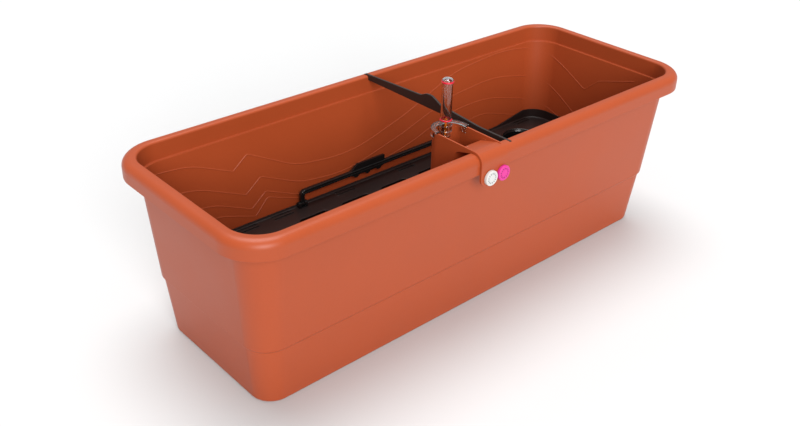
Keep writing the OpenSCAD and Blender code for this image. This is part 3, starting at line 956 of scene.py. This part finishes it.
@dataclass
class LiftHandle:
    """The bail near the back wall: two legs, a grooved bar and an upright finger plate."""
    leg_x: float = 136 * MM
    leg_w: float = 6 * MM
    pin_r: float = 2.5 * MM
    rise: float = 18 * MM
    grip_x: float = -15 * MM
    grip_half: float = 33 * MM
    grip_t: float = 3.4 * MM

    def __post_init__(self) -> None:
        """Read the pivot line from the joint."""
        pivot = next(j for j in frame["joints"] if j["name"] == "handle_fold")["pos_m"]
        self.y, self.z = pivot[1], pivot[2]

    def bar_section(self) -> list[Point2]:
        """The bar's section, (across, up): rounded, with a groove along its front face."""
        w, h = 3 * MM, 3.5 * MM
        return rounded([(-w, -h, 1.2 * MM), (w, -h, 1.2 * MM), (w, h, 1.2 * MM), (-w, h, 1.2 * MM),
                        (-w, 1.3 * MM, 0.3 * MM), (-w + 0.9 * MM, 0.9 * MM, 0.4 * MM),
                        (-w + 0.9 * MM, -0.7 * MM, 0.4 * MM), (-w, -1.1 * MM, 0.3 * MM)], 4)

    def bail(self) -> bpy.types.Object:
        """Sweep the section up one leg, along the bar and down the other."""
        reach = self.leg_x
        top = self.z + self.rise
        path = rounded([(-reach, self.z, 0), (-reach, top, 5 * MM), (reach, top, 5 * MM),
                        (reach, self.z, 0)], 8, closed=False)
        rings = []
        for i, (x, z) in enumerate(path):
            before, after = path[max(0, i - 1)], path[min(len(path) - 1, i + 1)]
            run = Vector((after[0] - before[0], after[1] - before[1])).normalized()
            up = Vector((-run.y, run.x))
            slim = 3 / 3.5 if i in (0, len(path) - 1) else 1.0
            rings.append([(x + up.x * v * slim, self.y + u, z + up.y * v * slim)
                          for u, v in self.bar_section()])
        return lofted("lift_handle_bail", rings, GLOSS_BLACK)

    def pin(self, side: int) -> bpy.types.Object:
        """The eye at a leg's foot, and the pin through it."""
        w, out = self.leg_w / 2, self.leg_w / 2 + 4.5 * MM
        eye, chamfer = 3.6 * MM, 0.5 * MM
        profile = [(0, -out), (self.pin_r - chamfer, -out), (self.pin_r, -out + chamfer),
                   (self.pin_r, -w), (eye - chamfer, -w), (eye, -w + chamfer), (eye, w - chamfer),
                   (eye - chamfer, w), (self.pin_r, w), (self.pin_r, out - chamfer),
                   (self.pin_r - chamfer, out), (0, out)]
        middle = side * self.leg_x
        return lathe("pin", profile, lambda u, v, h: (middle + h, self.y + u, self.z + v),
                     GLOSS_BLACK, 40)

    def grip(self) -> bpy.types.Object:
        """The finger plate: a raised back over the bar and three lobes under it."""
        g, low, high, r = self.grip_half, 9 * MM, 30.5 * MM, 6 * MM
        lobes: list[Point2] = []
        for k in (-1, 0, 1):
            lobes += arc((k * (g - r) * 0.8, low + r), r, 205, 335, 10)
        outline = rounded([(-g, self.rise + 2 * MM, 4 * MM),
                           (-g, self.rise - 3 * MM, 3 * MM)], 4, False)
        outline += lobes
        outline += rounded([(g - 0.5 * MM, low + r - 1 * MM, 0), (g, low + r + 2 * MM, 1 * MM),
                            (g, high, 1.5 * MM), (-g + 13 * MM, high, 6 * MM),
                            (-g + 0.2 * MM, self.rise + 2.6 * MM, 0)], 5, False)

        def place(u: float, v: float, depth: float) -> Point3:
            """Lay the finger plate upright over the pivot line."""
            return self.grip_x + u, self.y + depth, self.z + v

        half = self.grip_t / 2
        return extruded("grip", outline, -half, half, place, GLOSS_BLACK)

    def build(self) -> None:
        """Weld the bail, the pins and the finger plate into one moulding."""
        handle = self.bail()
        for side in (-1, 1):
            combine(handle, self.pin(side), "UNION")
        combine(handle, self.grip(), "UNION")
        adopt(smoothed(handle, 0.45 * MM, 2, 38), "handle", "gloss_black_plastic", "lift_handle")


# ---------------------------------------------------------------- the cross brace

@dataclass
class CrossBrace:
    """The tie strip on edge, hooked into a notch in each long rim."""
    floor: float = 248.05 * MM
    end_top: float = 254.6 * MM
    hook_y: float = 137.1 * MM

    def outline(self) -> list[Point2]:
        """The strip's outline in the YZ plane, its hump off the middle."""
        low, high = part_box("cross_brace")
        end, peak, hook_y = high.y, high.z, self.hook_y
        corners = [
            (end, self.floor, 0.4), (end, self.end_top, 0.8), (end - 3 * MM, 256.1 * MM, 1.5),
            (24 * MM, 262 * MM, 14), (13 * MM, 267 * MM, 5), (9 * MM, peak, 4), (1 * MM, peak, 5),
            (-7 * MM, 264.4 * MM, 8), (-16 * MM, 260 * MM, 12), (-89 * MM, 254.4 * MM, 60),
            (-end, self.end_top, 0.8), (-end, self.floor, 0.4),
            (-hook_y - 2.6 * MM, self.floor, 0), (-hook_y - 2.2 * MM, low.z, 0.5),
            (-hook_y, low.z, 0.5),
            (-hook_y, self.floor, 0), (hook_y, self.floor, 0), (hook_y, low.z, 0.5),
            (hook_y + 2.2 * MM, low.z, 0.5), (hook_y + 2.6 * MM, self.floor, 0)]
        return rounded([(y, z, r * MM) for y, z, r in corners], 5)

    def build(self) -> None:
        """Extrude the strip and round its edges."""
        low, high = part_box("cross_brace")
        strip = extruded("cross_brace_strip", self.outline(), low.x, high.x, along_x, NYLON)
        adopt(smoothed(strip, 0.45 * MM, 2, 40), "brace", "insert_plastic", "cross_brace")


# ---------------------------------------------------------------- the filling shaft

@dataclass
class FillingShaft:
    """A D-shaped pipe with a chute over the front rim and a flange that hangs outside."""
    wall: float = 2.2 * MM
    front_y: float = -107 * MM
    strap: float = 3 * MM
    gap: float = 0.4 * MM
    rim_round: float = 11 * MM
    flange_low: float = 212.5 * MM
    flange_r: float = 12 * MM
    chute_foot: float = 200 * MM
    slide_foot: float = 190 * MM
    slide_head: float = 9 * MM
    stem_r: float = 2.25 * MM

    def __post_init__(self) -> None:
        """Read the shaft's place from the frame."""
        low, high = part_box("filling_shaft")
        self.x, self.half_w = (low.x + high.x) / 2, (high.x - low.x) / 2
        self.foot, self.top, self.round_y = low.z, high.z, high.y - self.half_w
        self.rim_y, self.rim_z = -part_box("trough")[1].y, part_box("trough")[1].z

    def plan(self, grow: float) -> list[Point2]:
        """The pipe's plan, grown or shrunk by a distance."""
        w, y = self.half_w + grow, self.front_y - grow
        return [(self.x - w, y), (self.x + w, y), *arc((self.x, self.round_y), w, 0, 180, 32)]

    def hook_arc(self, radius: float, start: float, stop: float) -> list[Point2]:
        """An arc round the rim's outer edge, as (y, z)."""
        centre_y, centre_z = self.rim_y + self.rim_round, self.rim_z - self.rim_round
        return [(centre_y - u, centre_z + v) for u, v in arc((0, 0), radius, start, stop, 14)]

    def chute_outline(self) -> list[Point2]:
        """The chute, strap and flange from the side, as (y, z)."""
        lip_y = self.rim_y + 19.2 * MM
        foot = self.chute_foot
        under = rounded([(self.round_y, foot, 0), (self.front_y, foot, 0),
                         (self.front_y, 246 * MM, 9 * MM), (-128 * MM, 251.7 * MM, 6 * MM),
                         (lip_y, 252.6 * MM, 2 * MM), (lip_y - 4.2 * MM, 255 * MM, 3 * MM),
                         (self.rim_y + self.rim_round, self.rim_z + self.gap, 0)], 6, False)
        face = self.rim_y - self.gap
        tip = rounded([(face, self.flange_low + 2 * MM, 0), (face, self.flange_low, 1 * MM),
                       (face - self.strap, self.flange_low, 1 * MM),
                       (face - self.strap, self.flange_low + 2 * MM, 0)], 4, False)
        inner = self.hook_arc(self.rim_round + self.gap, 90, 0)[1:]
        outer = self.hook_arc(self.rim_round + self.gap + self.strap, 0, 90)
        return [(self.round_y, self.top), *under, *inner, *tip, *outer]

    def chute_floor(self) -> list[Point2]:
        """What is cut out of the chute: a slide from the strap down into the pipe, as (y, z)."""
        back, foot, head = self.front_y + self.wall, self.slide_foot, self.top + self.slide_head
        slide = rounded([(back, foot, 0), (back, 248 * MM, 10 * MM),
                         (-128 * MM, 254.4 * MM, 20 * MM), (-137 * MM, 256.8 * MM, 12 * MM),
                         (-146 * MM, 256.9 * MM, 0), (-146 * MM, head, 0)], 8, False)
        return [(self.round_y, head), (self.round_y, foot), *slide]

    def flange_corner(self, side: int) -> bpy.types.Object:
        """What is cut away to round one lower corner of the flange."""
        r, more = self.flange_r, 1 * MM
        x, z = self.x + side * (self.half_w - r), self.flange_low + r
        curve = arc((x, z), r, 270, 270 + 90 * side, 12)
        outline = [*curve, (x + side * (r + more), z), (x + side * (r + more), z - r - more),
                   (x, z - r - more)]
        face = self.rim_y - self.gap
        return extruded("flange_corner", outline, face - self.strap - more, face + more, along_y)

    def moulding(self) -> bpy.types.Object:
        """Build the shaft from its pipe and chute, hollow it, and cut the outlets."""
        w = self.half_w
        shaft = extruded("filling_shaft_moulding", self.plan(0), self.foot, self.top, along_z,
                         TERRACOTTA)
        chute = extruded("chute", self.chute_outline(), self.x - w, self.x + w, along_x)
        combine(shaft, chute, "UNION")
        under = self.foot - OVERSHOOT
        bore = extruded("bore", self.plan(-self.wall), under, self.top + OVERSHOOT, along_z)
        combine(shaft, bore, "DIFFERENCE")
        slide = extruded("slide", self.chute_floor(), self.x - w + self.wall,
                         self.x + w - self.wall, along_x)
        combine(shaft, slide, "DIFFERENCE")
        outlet_top = self.foot + 19 * MM
        outlet = rounded([(-100 * MM, under, 0), (-82 * MM, under, 0),
                          (-82 * MM, outlet_top, 6 * MM), (-100 * MM, outlet_top, 6 * MM)], 6)
        combine(shaft, extruded("outlet", outlet, self.x - 2 * w, self.x + 2 * w, along_x),
                "DIFFERENCE")
        for side in (-1, 1):
            combine(shaft, self.flange_corner(side), "DIFFERENCE")
        for node in ("marker_white", "marker_pink"):
            low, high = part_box(node)
            spot = lengthwise((low.x + high.x) / 2, (low.z + high.z) / 2)
            r, face = self.stem_r, self.rim_y - self.gap
            front, back = face - OVERSHOOT, face + 5 * MM
            hole = lathe("hole", [(0, front), (r, front), (r, back), (0, back)], spot, None, 32)
            combine(shaft, hole, "DIFFERENCE")
        return smoothed(shaft, 0.6 * MM, 3, 36)

    def build(self) -> None:
        """Make the shaft."""
        adopt(self.moulding(), "shaft", "terracotta_plastic", "filling_shaft")


# ---------------------------------------------------------------- the water gauge

@dataclass
class WaterGauge:
    """The clear tube with its dome, two level rings, clip, guide, rod and float."""
    wall: float = 1.5 * MM
    dome: float = 3 * MM
    rod_r: float = 1.5 * MM

    def __post_init__(self) -> None:
        """Read the gauge's axis from the frame."""
        low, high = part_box("gauge_tube")
        self.x, self.y = (low.x + high.x) / 2, (low.y + high.y) / 2
        self.r, self.foot, self.top = (high.x - low.x) / 2, low.z, high.z

    def turned(self, name: str, profile: Sequence[Point2], finish: MouldedPlastic | ClearPlastic,
               steps: int = 64) -> bpy.types.Object:
        """Turn a profile on the gauge's axis."""
        return smoothed(lathe(name, profile, upright(self.x, self.y), finish, steps), 0.0, 2, 40)

    def tube(self) -> bpy.types.Object:
        """The tube, with a bead at its foot and a shallow dome."""
        shoulder, inner = self.top - self.dome, self.r - self.wall
        over = [(self.r * math.cos(a), shoulder + self.dome * math.sin(a))
                for a in (math.radians(9 * k) for k in range(10))] + [(0, self.top)]
        low_shoulder, low_dome = shoulder - 0.5 * MM, self.dome - 1 * MM
        under = [(inner * math.cos(a), low_shoulder + low_dome * math.sin(a))
                 for a in (math.radians(9 * k) for k in range(10))] + [(0, self.top - self.wall)]
        return self.turned("gauge_tube_moulding", [(self.r, self.foot), *over, *under[::-1],
                                                   (inner, self.foot)], CLEAR, 72)

    def ring(self, node: str) -> bpy.types.Object:
        """A level ring: a band with a rounded outside."""
        low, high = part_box(node)
        out, mid = (high.x - low.x) / 2, (low.z + high.z) / 2
        half = (high.z - low.z) / 2
        swell = [(self.r + (out - self.r) * math.cos(a), mid + half * math.sin(a))
                 for a in (math.radians(d) for d in range(-90, 91, 18))]
        return self.turned(f"{node}_band", [(self.r + 0.02 * MM, low.z), *swell[1:-1],
                                            (self.r + 0.02 * MM, high.z)], RED)

    def rod(self) -> bpy.types.Object:
        """The rod, with a rounded tip."""
        low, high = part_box("float_rod")
        r = self.rod_r
        tip = [(r * math.cos(a), high.z - r + r * math.sin(a))
               for a in (math.radians(15 * k) for k in range(6))]
        profile = [(0, low.z), (r, low.z), *tip, (0, high.z)]
        return self.turned("float_rod_stem", profile, ORANGE, 32)

    def float(self) -> bpy.types.Object:
        """The foam float, with rounded edges and a socket for the rod."""
        low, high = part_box("float")
        r, soft = (high.x - low.x) / 2, 1.5 * MM
        foot = arc((r - soft, low.z + soft), soft, 270, 360, 5)
        head = arc((r - soft, high.z - soft), soft, 0, 90, 5)
        socket = low.z + 2 * MM
        profile = [(0, low.z), *foot, *head, (self.rod_r, high.z), (self.rod_r, socket), (0, socket)]
        return self.turned("float_foam", profile, FOAM, 48)

    def build(self) -> None:
        """Make every piece of the gauge."""
        adopt(self.tube(), "gauge", "clear_plastic", "gauge_tube")
        for node in ("gauge_ring_low", "gauge_ring_high"):
            adopt(self.ring(node), "gauge", "red_plastic", node)
        adopt(from_node("gauge_clip", "gauge_clip_moulding", CLEAR, 0.35 * MM), "gauge",
              "clear_plastic", "gauge_clip")
        adopt(from_node("gauge_guide", "gauge_guide_plug", CLEAR, 0.2 * MM), "gauge",
              "clear_plastic", "gauge_guide")
        adopt(self.rod(), "float_stem", "orange_plastic", "float_rod")
        adopt(self.float(), "float_stem", "float_foam", "float")


# ---------------------------------------------------------------- the marker buttons

@dataclass(frozen=True)
class MarkerButton:
    """A round button on the flange, with a plain middle and a ring of fine strokes."""
    node: str
    body: str
    slot: str
    finish: MouldedPlastic
    # Painted shade: the strokes' darker colour stands in for the shade in the embossed marks.
    ink: MouldedPlastic
    strokes: int = 13
    stroke_ring: float = 6.3 * MM
    stroke: tuple[float, float, float] = (1.8 * MM, 0.9 * MM, 0.5 * MM)

    def disc(self) -> bpy.types.Object:
        """Turn the button: a stem, a rounded rim, a shallow ring for the strokes and a middle."""
        low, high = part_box(self.node)
        r, face = (high.x - low.x) / 2, low.y
        back, stem = high.y - 3 * MM, 2.2 * MM
        rim = [(r - 1.1 * MM + 1.1 * MM * math.cos(a), face + 1.1 * MM - 1.1 * MM * math.sin(a))
               for a in (math.radians(15 * k) for k in range(7))]
        profile = [(0, high.y), (stem - 0.3 * MM, high.y), (stem, high.y - 0.3 * MM), (stem, back),
                   (r - 0.5 * MM, back), (r, back - 0.5 * MM), *rim,
                   (r - 1.5 * MM, face + 0.1 * MM), (r - 1.8 * MM, face + 0.3 * MM),
                   (4.6 * MM, face + 0.3 * MM), (4.3 * MM, face + 0.1 * MM), (3.9 * MM, face),
                   (0, face)]
        spot = lengthwise((low.x + high.x) / 2, (low.z + high.z) / 2)
        return smoothed(lathe(f"{self.node}_disc", profile, spot, self.finish, 96), 0.0, 2, 35)

    def marks(self) -> bpy.types.Object:
        """Strokes set evenly round the ring, each a low bar that points to the middle."""
        low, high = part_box(self.node)
        seed = new_piece(f"{self.node}_marks", [(0, 0, 0)], [])
        length, width, height = self.stroke
        rule = NodeRule(f"{self.node}_marks_rule", {"Strokes": float(self.strokes),
                                                    "Ring radius": self.stroke_ring,
                                                    "Stroke length": length, "Stroke width": width,
                                                    "Stroke height": height}, self.ink)
        circle = rule.node("GeometryNodeCurvePrimitiveCircle",
                           {"Resolution": 96, "Radius": rule.given["Ring radius"]})
        spots = rule.node("GeometryNodeCurveToPoints",
                          {0: circle.outputs[0], "Count": rule.given["Strokes"]}, mode="COUNT")
        size = rule.node("ShaderNodeCombineXYZ", {0: rule.given["Stroke length"],
                                                  1: rule.given["Stroke height"],
                                                  2: rule.given["Stroke width"]})
        bar = rule.node("GeometryNodeMeshCube", {"Size": size.outputs[0]})
        laid = rule.node("GeometryNodeInstanceOnPoints",
                         {0: spots.outputs[0], "Instance": bar.outputs[0],
                          "Rotation": spots.outputs["Rotation"]})
        rule.grow(laid.outputs[0], seed)
        centre = ((low.x + high.x) / 2, low.y + 0.3 * MM, (low.z + high.z) / 2)
        seed.data.transform(Matrix.Translation(centre) @ Matrix.Rotation(math.pi / 2, 4, "X"))
        return seed

    def build(self) -> None:
        """Make the disc and its strokes."""
        adopt(self.disc(), self.body, self.slot, self.node)
        adopt(self.marks(), self.body, self.slot)


# ---------------------------------------------------------------- the drain plug

@dataclass
class DrainPlug:
    """The plug low in the back wall, with a finger bar on its head, and the seal under it."""
    shank_r: float = 5.94 * MM
    bar_half: tuple[float, float] = (1.4 * MM, 7.9 * MM)

    def build(self) -> None:
        """Make the plug and the seal."""
        low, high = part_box("drain_plug")
        seal_low, seal_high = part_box("plug_seal")
        spot = lengthwise((low.x + high.x) / 2, (low.z + high.z) / 2)
        r, under = (high.x - low.x) / 2, seal_high.y
        dish = under + 2.4 * MM
        profile = [(0, low.y), (self.shank_r - 1 * MM, low.y), (self.shank_r, low.y + 1 * MM),
                   (self.shank_r, under), (r - 0.4 * MM, under), (r, under + 0.4 * MM),
                   (r, high.y - 0.8 * MM), (r - 0.8 * MM, high.y), (r - 1.8 * MM, high.y),
                   (r - 2.3 * MM, dish), (0, dish)]
        plug = lathe("drain_plug_moulding", profile, spot, GLOSS_BLACK, 64)
        x, z, (w, h) = (low.x + high.x) / 2, (low.z + high.z) / 2, self.bar_half
        bar = extruded("bar", [(x - w, z - h), (x + w, z - h), (x + w, z + h), (x - w, z + h)],
                       dish - 0.5 * MM, high.y - 0.1 * MM, along_y, GLOSS_BLACK)
        combine(plug, bar, "UNION")
        adopt(smoothed(plug, 0.3 * MM, 2, 38), "plug", "gloss_black_plastic", "drain_plug")
        mid, half = (seal_low.y + seal_high.y) / 2, (seal_high.y - seal_low.y) / 2
        out = (seal_high.x - seal_low.x) / 2
        swell = [(out - half + half * math.cos(a), mid + half * math.sin(a))
                 for a in (math.radians(d) for d in range(-90, 91, 18))]
        seal = lathe("plug_seal_ring", [(self.shank_r + 0.02 * MM, seal_low.y), *swell,
                                        (self.shank_r + 0.02 * MM, seal_high.y)], spot, SEAL, 64)
        adopt(smoothed(seal, 0.0, 2, 40), "plug", "seal_rubber", "plug_seal")


# ---------------------------------------------------------------- the studio

@dataclass(frozen=True)
class Studio:
    """A pale floor, soft lights and the camera."""
    azimuth: float = -42.573
    elevation: float = 30.286
    roll: float = 1.574
    target: tuple[float, float, float] = (-0.03133, 0.02005, 0.08909)
    distance: float = 1.3629
    lens: float = 42.694
    sensor: float = 36.0
    room_light: float = 0.42
    floor_reach: float = 6.0
    floor_drop: float = 0.4 * MM

    def camera(self) -> None:
        """Set the camera up on its sphere round the target."""
        az, el, roll = (math.radians(a) for a in (self.azimuth, self.elevation, self.roll))
        back = Vector((math.sin(az) * math.cos(el), -math.cos(az) * math.cos(el), math.sin(el)))
        right = (-back).cross(Vector((0, 0, 1))).normalized()
        up = right.cross(-back)
        turned_right = right * math.cos(roll) + up * math.sin(roll)
        turned_up = up * math.cos(roll) - right * math.sin(roll)
        view = bpy.data.cameras.new("camera")
        view.lens, view.sensor_width, view.clip_start = self.lens, self.sensor, 0.01
        camera = bpy.data.objects.new("camera", view)
        turn = Matrix((turned_right, turned_up, back)).transposed()
        spot = Vector(self.target) + back * self.distance
        camera.matrix_world = Matrix.Translation(spot) @ turn.to_4x4()
        bpy.context.scene.collection.objects.link(camera)
        bpy.context.scene.camera = camera

    def lamp(self, name: str, towards: Sequence[float], strength: float, spread: float) -> None:
        """Add a wide, soft, distant light.

        Args:
            name: the light's name.
            towards: direction from the trough to the light.
            strength: its brightness.
            spread: how many degrees of the room it fills.
        """
        glow = bpy.data.lights.new(name, "SUN")
        glow.energy, glow.angle = strength, math.radians(spread)
        light = bpy.data.objects.new(name, glow)
        light.rotation_euler = Vector(towards).to_track_quat("Z", "Y").to_euler()
        bpy.context.scene.collection.objects.link(light)

    def floor(self) -> None:
        """Lay the pale floor under the trough."""
        size, low = self.floor_reach, -self.floor_drop
        paper = MouldedPlastic("pale_floor_paper", "#D3D3D3", 0.9, Surface.SPARK_ERODED, 0.004)
        corners = [(-size, -size, low), (size, -size, low), (size, size, low), (-size, size, low)]
        new_piece("studio_floor", corners, [(0, 1, 2, 3)], paper)

    def world(self) -> None:
        """Fill the room with even, slightly cool light."""
        room = bpy.data.worlds.new("studio_room")
        room.use_nodes = True
        glow = room.node_tree.nodes["Background"].inputs
        glow["Color"].default_value = linear("#FDFEFF")
        glow["Strength"].default_value = self.room_light
        bpy.context.scene.world = room

    def build(self) -> None:
        """Set up the whole studio."""
        self.camera()
        self.floor()
        self.world()
        self.lamp("key", (-0.38, -0.82, 0.44), 2.8, 36)
        self.lamp("top", (0.1, 0.2, 1.0), 2.5, 40)
        bpy.context.scene.view_settings.view_transform = "Standard"


def main() -> None:
    """Build the studio and every sub-assembly, in order."""
    logging.basicConfig(level=logging.INFO, format="%(name)s: %(message)s")
    Studio().build()
    buttons = [MarkerButton("marker_white", "white_button", "white_plastic", WHITE, GREY_STROKE_SHADE),
               MarkerButton("marker_pink", "pink_button", "pink_plastic", PINK, DEEP_PINK_STROKE_SHADE)]
    for part in (Trough(), Insert(), LiftHandle(), CrossBrace(), FillingShaft(), WaterGauge(),
                 *buttons, DrainPlug()):
        part.build()


if __name__ == "__main__":
    main()
